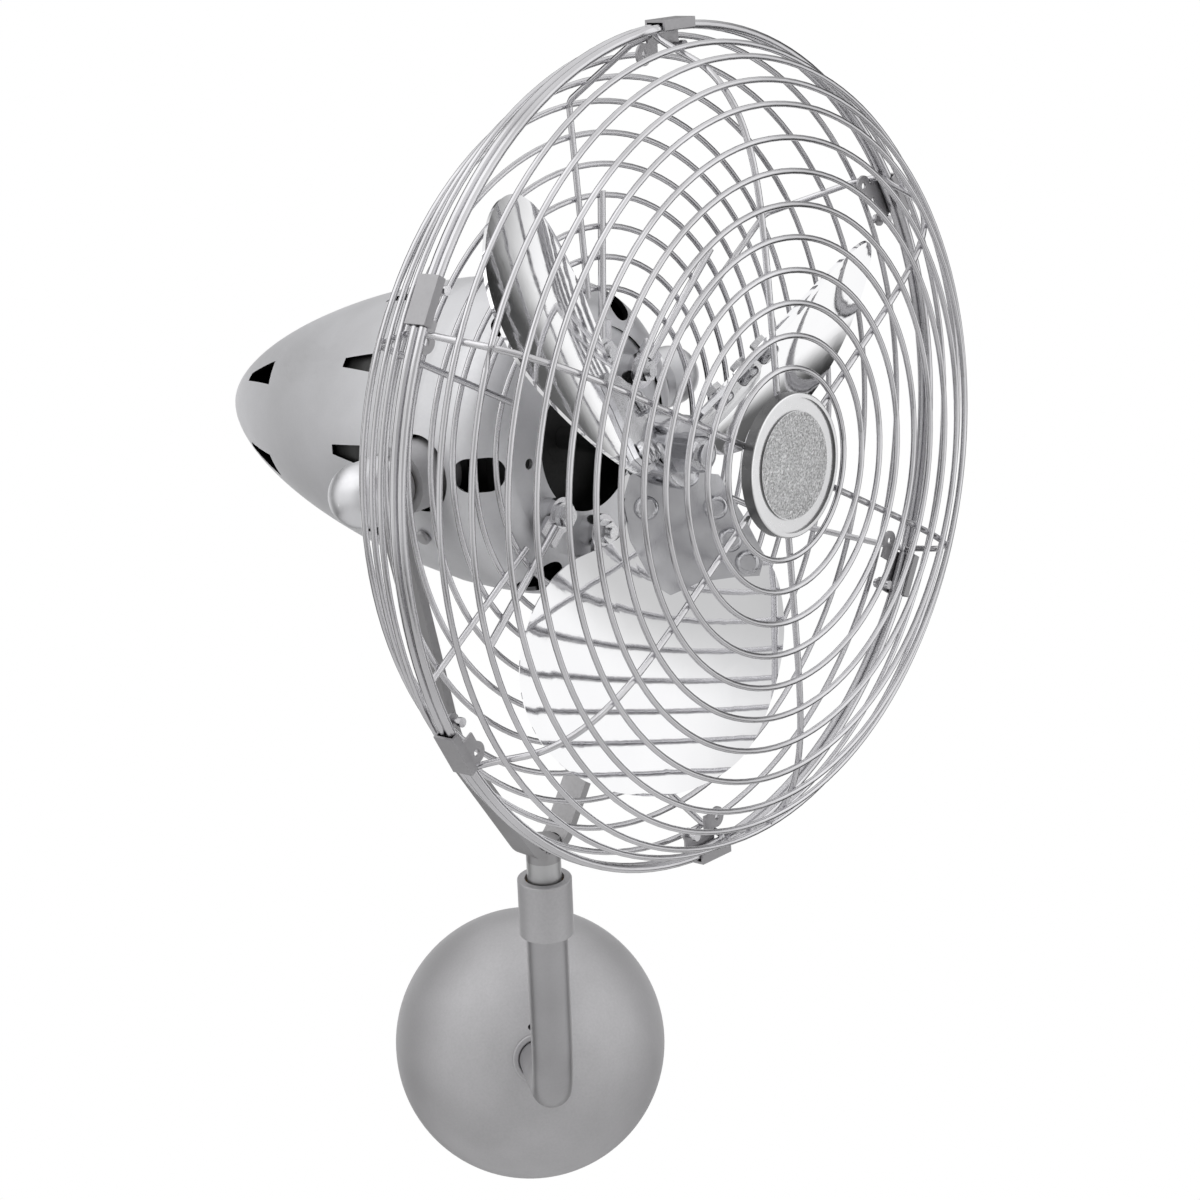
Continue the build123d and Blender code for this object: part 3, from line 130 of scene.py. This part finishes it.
def metal(name, dark, light, polish, grain, relief, stretch=(1, 1, 1), detail=3.0):
    """Metal with cloudy colour, uneven polish and fine relief."""
    smooth, rough = polish
    material, shader = new_material(name, light, 1.0, rough)
    tree = material.node_tree
    clouds = remap(tree, noise(tree, 22.0, 4.0), 0.3, 0.7, 0.0, 1.0)
    tint = mix_colours(tree, clouds, (*dark, 1), (*light, 1))
    tree.links.new(tint, shader.inputs["Base Color"])
    streaks = noise(tree, grain, detail, stretch)
    tree.links.new(remap(tree, streaks, 0.3, 0.7, smooth, rough), shader.inputs["Roughness"])
    if relief > 0:
        add_bump(tree, shader, streaks, relief)
    return material


def plastic(name, colour, roughness, relief):
    """Moulded plastic or rubber with a fine grain."""
    material, shader = new_material(name, colour, 0.0, roughness)
    tree = material.node_tree
    grain = noise(tree, 900.0, 2.0)
    uneven = remap(tree, grain, 0.3, 0.7, roughness - 0.08, roughness + 0.08)
    tree.links.new(uneven, shader.inputs["Roughness"])
    add_bump(tree, shader, grain, relief)
    return material


def paint_shade_inside(material, centre):
    """Painted shade: near-black colour on the faces that look towards a point inside a hollow part, in place
    of the shadow in the housing.
    """
    tree = material.node_tree
    shader = tree.nodes["Principled BSDF"]
    place = add_node(tree, "ShaderNodeTexCoord", {})
    offset = vector_math(tree, "SUBTRACT", "Vector", first=place.outputs["Object"], second=centre)
    facing = vector_math(tree, "DOT_PRODUCT", "Value", first=offset,
                         second=place.outputs["Normal"])
    outside = remap(tree, facing, -0.002, 0.0, 0.0, 1.0)
    # painted shade: faces that look inward are multiplied down to near black, as if in shadow
    tint = mix_colours(tree, outside, (0.008, 0.008, 0.008, 1), (1, 1, 1, 1))
    painted = shader.inputs["Base Color"].links[0].from_socket
    shaded = mix_colours(tree, 1.0, painted, tint, blend="MULTIPLY")
    tree.links.new(shaded, shader.inputs["Base Color"])


def grain_and_shade_recess(material, centre, direction, radius, depth):
    """A pitted grain inside a radius about an axis, and painted shade that darkens the walls round the axis.
    """
    tree = material.node_tree
    shader = tree.nodes["Principled BSDF"]
    place = add_node(tree, "ShaderNodeTexCoord", {})
    offset = vector_math(tree, "SUBTRACT", "Vector", first=place.outputs["Object"], second=centre)
    across = vector_math(tree, "CROSS_PRODUCT", "Vector", first=offset, second=direction)
    distance = vector_math(tree, "LENGTH", "Value", first=across)
    edge_blur = 0.0006
    inside = remap(tree, distance, radius - edge_blur, radius, 1.0, 0.0)
    pits = remap(tree, noise(tree, 950.0, 5.0, roughness=0.7), 0.38, 0.58, 0.42, 1.0)
    surface = add_node(tree, "ShaderNodeMix", {"Factor": inside, "A": 1.0, "B": pits})
    facing = vector_math(tree, "DOT_PRODUCT", "Value", first=place.outputs["Normal"],
                         second=direction)
    squareness = math_node(tree, "ABSOLUTE", facing)
    # painted shade: faces that turn across the axis are darkened to 0.16 of their colour, as if in shadow
    walls = remap(tree, squareness, 0.4, 0.9, 0.16, 1.0)
    grain_and_wall_shade = math_node(tree, "MULTIPLY", walls, surface.outputs["Result"])
    painted = shader.inputs["Base Color"].links[0].from_socket
    shade = vector_math(tree, "SCALE", "Vector", first=painted, scale=grain_and_wall_shade)
    tree.links.new(shade, shader.inputs["Base Color"])
    add_bump(tree, shader, surface.outputs["Result"], depth)


# ------------------------------------------------------------------ materials of the fan

# painted light and shade: the arm and yoke get darker copies of this satin nickel, and the housing and knobs
# lighter copies, for how light falls on them
satin = metal("satin_nickel", dark=(0.48, 0.475, 0.485), light=(0.54, 0.535, 0.547),
              polish=(0.56, 0.66), grain=700.0, relief=0.000012)
shaded_arm = metal("arm_nickel_painted_shade", dark=(0.38, 0.375, 0.385), light=(0.44, 0.435, 0.447),
             polish=(0.38, 0.48), grain=700.0, relief=0.000012)
shaded_yoke = metal("yoke_nickel_painted_shade", dark=(0.36, 0.355, 0.36), light=(0.43, 0.425, 0.435),
            polish=(0.40, 0.50), grain=700.0, relief=0.000012)
lit_shell = metal("shell_nickel_painted_light", dark=(0.70, 0.70, 0.715), light=(0.78, 0.78, 0.80),
              polish=(0.50, 0.60), grain=700.0, relief=0.000012)
paint_shade_inside(lit_shell, pivot + axis * shell_middle)
lit_knob = metal("knob_nickel_painted_light", dark=(0.66, 0.66, 0.675), light=(0.74, 0.74, 0.76),
                    polish=(0.36, 0.46), grain=700.0, relief=0.00001)
post_finish = metal("post_finish", dark=(0.50, 0.50, 0.505), light=(0.56, 0.56, 0.565),
                    polish=(0.38, 0.48), grain=300.0, relief=0.00001)
wire = metal("plated_wire", dark=(0.55, 0.545, 0.56), light=(0.67, 0.665, 0.685),
             polish=(0.12, 0.20), grain=300.0, relief=0.000002)
mirror = metal("mirror_blade", dark=(0.93, 0.93, 0.945), light=(0.97, 0.97, 0.98),
               polish=(0.02, 0.05), grain=260.0, relief=0.000004)
cast = metal("plated_casting", dark=(0.36, 0.36, 0.375), light=(0.72, 0.72, 0.74),
             polish=(0.08, 0.18), grain=60.0, relief=0.00035, detail=0.6)
pewter = metal("pewter", dark=(0.86, 0.86, 0.87), light=(0.94, 0.94, 0.95),
               polish=(0.26, 0.36), grain=500.0, relief=0.0)
grain_and_shade_recess(pewter, pivot, axis, medallion_recess, depth=0.0002)
zinc = metal("zinc_plate", dark=(0.62, 0.62, 0.63), light=(0.78, 0.78, 0.79),
             polish=(0.12, 0.26), grain=500.0, relief=0.00001)
bronze = metal("sintered_bronze", dark=(0.28, 0.17, 0.07), light=(0.36, 0.23, 0.1),
               polish=(0.35, 0.5), grain=900.0, relief=0.00002)
laminations = metal("laminations", dark=(0.03, 0.03, 0.03), light=(0.06, 0.06, 0.065),
                    polish=(0.4, 0.55), grain=600.0, relief=0.00002, stretch=(1, 1, 6))
copper = metal("enamelled_copper", dark=(0.30, 0.10, 0.04), light=(0.42, 0.17, 0.07),
               polish=(0.3, 0.42), grain=1100.0, relief=0.00005)
# painted shade: the cast aluminium is made near black, in place of the shadow inside the housing
shadow_black_casting = metal("cast_aluminium", dark=(0.02, 0.02, 0.02), light=(0.04, 0.04, 0.04),
                polish=(0.45, 0.6), grain=800.0, relief=0.00004)
black = plastic("black_plastic", (0.02, 0.02, 0.02), roughness=0.45, relief=0.00002)
fibre = plastic("friction_fibre", (0.05, 0.045, 0.04), roughness=0.7, relief=0.00005)

by_slot = {
    "satin_nickel": satin, "polished_post": post_finish, "wire_chrome": wire,
    "blade_chrome": mirror, "cast_chrome": cast, "pewter": pewter, "zinc_steel": zinc,
    "bronze": bronze, "friction_fibre": fibre, "lamination_steel": laminations,
    "copper_winding": copper, "cast_aluminium": shadow_black_casting, "black_plastic": black,
}
# the lit and shaded copies of the satin nickel go on their parts here, as painted light and shade; the
# bearings get the near-black aluminium, as painted shade
by_node = {
    "rear_shell": lit_shell, "front_cup": lit_shell, "arm_tube": shaded_arm, "rim_clips": shaded_arm,
    "yoke": shaded_yoke, "post_nut": shaded_yoke, "front_bearing": shadow_black_casting, "rear_bearing": shadow_black_casting,
    "knob_left": lit_knob, "knob_right": lit_knob,
}
slot_of = {entry["node"]: entry["material_slot"] for entry in frame["record"]["subparts"]}
for name, piece in nodes.items():
    for material_slot in piece.material_slots:
        material_slot.material = by_node.get(name) or by_slot[slot_of[name]]


# ------------------------------------------------------------------ black sheet behind the slots, painted shade

def turned_ring(name, outline, body, finish, count):
    """A closed outline of stations and radii turned about the fan's axis."""
    side = axis.cross(Vector((0, 0, 1))).normalized()
    rise = side.cross(axis)
    points = []
    for step in range(count):
        turn = 2 * math.pi * step / count
        outward = side * math.cos(turn) + rise * math.sin(turn)
        points += [pivot + axis * station + outward * radius for station, radius in outline]
    size = len(outline)
    faces = []
    for step in range(count):
        here = step * size
        there = (step + 1) % count * size
        for corner in range(size):
            near = (corner + 1) % size
            faces.append((here + corner, here + near, there + near, there + corner))
    mesh = bpy.data.meshes.new(name)
    mesh.from_pydata(points, [], faces)
    mesh.update()
    for face in mesh.polygons:
        face.use_smooth = True
    mesh.materials.append(finish)
    piece = bpy.data.objects.new(name, mesh)
    bpy.context.scene.collection.objects.link(piece)
    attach(piece, body)


# painted shade: a black sheet behind the vents, in place of the shadow inside the housing
shade_sheet_inside = tuple((station, radius - shade_sheet_wall) for station, radius in shade_sheet_profile[::-1])
turned_ring("slot_shade_sheet", shade_sheet_profile + shade_sheet_inside, "head", black, shade_sheet_segments)


# ------------------------------------------------------------------ camera and lamps

def towards(azimuth, elevation):
    """The direction of a viewer or lamp at an azimuth and elevation, seen from the part."""
    a = math.radians(azimuth)
    e = math.radians(elevation)
    return Vector((math.sin(a) * math.cos(e), -math.cos(a) * math.cos(e), math.sin(e)))


def aim(position, azimuth, elevation):
    """Matrix of a camera or lamp that faces back along its azimuth and elevation, without roll."""
    a = math.radians(azimuth)
    back = towards(azimuth, elevation)
    right = Vector((math.cos(a), math.sin(a), 0))
    turn = Matrix((right, back.cross(right), back)).transposed().to_4x4()
    return Matrix.Translation(position) @ turn


def softbox(name, azimuth, elevation, width, height, power):
    """A rectangular lamp that faces the middle of the fan."""
    lamp = bpy.data.objects.new(name, bpy.data.lights.new(name, "AREA"))
    lamp.data.shape = "RECTANGLE"
    lamp.data.size = width
    lamp.data.size_y = height
    lamp.data.energy = power
    place = lamp_target + towards(azimuth, elevation) * lamp_distance
    lamp.matrix_world = aim(place, azimuth, elevation)
    bpy.context.scene.collection.objects.link(lamp)


camera_place = Vector((-0.1058, -1.8744, 0.2278))
camera = bpy.data.objects.new("camera", bpy.data.cameras.new("camera"))
camera.data.lens = 88.6
camera.data.sensor_width = 36.0
camera.data.clip_start = 0.05
camera.matrix_world = aim(camera_place, azimuth=-4.59, elevation=-1.56)
bpy.context.scene.collection.objects.link(camera)
bpy.context.scene.camera = camera

lamp_target = Vector((0.0, -0.35, 0.25))
lamp_distance = 2.2
softbox("key_light", azimuth=-50, elevation=45, width=2.4, height=2.4, power=9)
softbox("fill_light", azimuth=70, elevation=15, width=1.6, height=2.0, power=3)


# ------------------------------------------------------------------ studio around the part

def background(tree, strength):
    """A white background with a strength that is a number or an output."""
    white = {"Color": (1, 1, 1, 1), "Strength": strength}
    return add_node(tree, "ShaderNodeBackground", white).outputs["Background"]


def tone_ramp(tree, value, stops):
    """A grey that follows a value from -1 to 1 through pairs of value and tone."""
    share = math_node(tree, "MULTIPLY", math_node(tree, "ADD", value, 1.0), 0.5)
    node = add_node(tree, "ShaderNodeValToRGB", {"Fac": share})
    ramp = node.color_ramp
    ramp.interpolation = "EASE"
    for count, (depth, tone) in enumerate(stops):
        position = (depth + 1) / 2
        stop = ramp.elements[count] if count < 2 else ramp.elements.new(position)
        stop.position = position
        stop.color = (tone, tone, tone, 1)
    return node.outputs["Color"]


def mirrored_room(tree, toward_back, upward):
    """What the metal mirrors: a bright room with a dark strip, a low floor and a lit back."""
    walls = tone_ramp(tree, toward_back, (
        (-1.0, 0.6), (-0.92, 0.6), (-0.85, 1.0), (-0.58, 1.0), (-0.45, 0.8), (-0.28, 1.0),
        (0.16, 1.0), (0.34, 0.18), (0.6, 0.08), (0.74, 1.0)))
    # the back wall is lit between two heights only
    below_top = remap(tree, upward, 0.34, 0.39, 1.0, 0.12, "SMOOTHSTEP")
    above_foot = remap(tree, upward, -0.31, -0.23, 0.12, 1.0, "SMOOTHSTEP")
    band = math_node(tree, "MINIMUM", below_top, above_foot)
    behind = remap(tree, toward_back, 0.35, 0.55, 0.0, 1.0, "SMOOTHSTEP")
    dimming = math_node(tree, "MULTIPLY", behind, math_node(tree, "SUBTRACT", 1.0, band))
    dimmed = math_node(tree, "MULTIPLY", walls, math_node(tree, "SUBTRACT", 1.0, dimming))
    ceiling = remap(tree, upward, 0.45, 0.85, 0.0, 1.0, "SMOOTHSTEP")
    ground = remap(tree, upward, -0.78, -0.28, 0.04, 1.0, "SMOOTHSTEP")
    return math_node(tree, "MULTIPLY", math_node(tree, "MAXIMUM", dimmed, ceiling), ground)


def build_studio():
    """White for the camera, the mirrored room for gloss, and a plain level for the rest."""
    world = bpy.data.worlds.new("studio")
    bpy.context.scene.world = world
    world.use_nodes = True
    tree = world.node_tree
    place = add_node(tree, "ShaderNodeTexCoord", {})
    parts = add_node(tree, "ShaderNodeSeparateXYZ", {"Vector": place.outputs["Generated"]})
    room = mirrored_room(tree, parts.outputs["Y"], parts.outputs["Z"])
    rays = add_node(tree, "ShaderNodeLightPath", {})
    in_gloss = math_node(tree, "MAXIMUM", rays.outputs["Is Glossy Ray"],
                         rays.outputs["Is Transmission Ray"])
    light = add_node(tree, "ShaderNodeMixShader", {
        "Fac": in_gloss, 1: background(tree, 0.7), 2: background(tree, room)})
    choose = add_node(tree, "ShaderNodeMixShader", {
        "Fac": rays.outputs["Is Camera Ray"], 1: light.outputs["Shader"],
        2: background(tree, 1.0)})
    tree.links.new(choose.outputs["Shader"], tree.nodes["World Output"].inputs["Surface"])


def build_floor(reach, drop):
    """A plain pale floor under the part."""
    corners = [(-reach, -reach, 0), (reach, -reach, 0), (reach, reach, 0), (-reach, reach, 0)]
    mesh = bpy.data.meshes.new("floor")
    mesh.from_pydata(corners, [], [(0, 1, 2, 3)])
    floor = bpy.data.objects.new("floor", mesh)
    floor.location = (0, -0.3, -drop)
    bpy.context.scene.collection.objects.link(floor)
    paint, _ = new_material("floor_paint", (0.9, 0.9, 0.9), 0.0, 0.9)
    mesh.materials.append(paint)


build_studio()
build_floor(reach=1.5, drop=0.9)
bpy.context.scene.view_settings.view_transform = "Standard"
